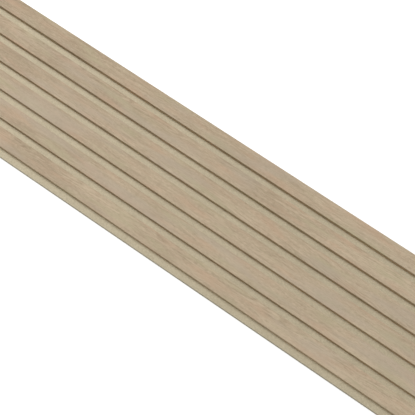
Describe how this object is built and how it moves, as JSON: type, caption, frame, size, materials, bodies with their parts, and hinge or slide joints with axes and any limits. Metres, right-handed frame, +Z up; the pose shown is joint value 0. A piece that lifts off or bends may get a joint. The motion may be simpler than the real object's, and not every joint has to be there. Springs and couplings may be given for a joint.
{
  "type": "acoustic slat panel",
  "caption": "Narrow wall panel of parallel pale oak slats glued to a beige felt board, with open grooves between them and a bare felt flange along one long edge.",
  "frame": {"origin": "middle of the felt's flat back, on the surface that the panel lies on", "axes": "+X along the slats, +Y across them towards the flush long edge (the bare felt flange is at -Y), +Z up through the thickness, out of the slat faces"},
  "size_m": [2.4, 0.3, 0.021],
  "materials": {
    "oak_slat": "matt pale oak veneer on the face and sides of a fibreboard strip",
    "beige_felt": "pressed beige felt"
  },
  "bodies": {
    "root": {"felt_backing": "beige_felt", "slat_1": "oak_slat", "slat_2": "oak_slat", "slat_3": "oak_slat", "slat_4": "oak_slat", "slat_5": "oak_slat", "slat_6": "oak_slat"}
  },
  "joints": []
}
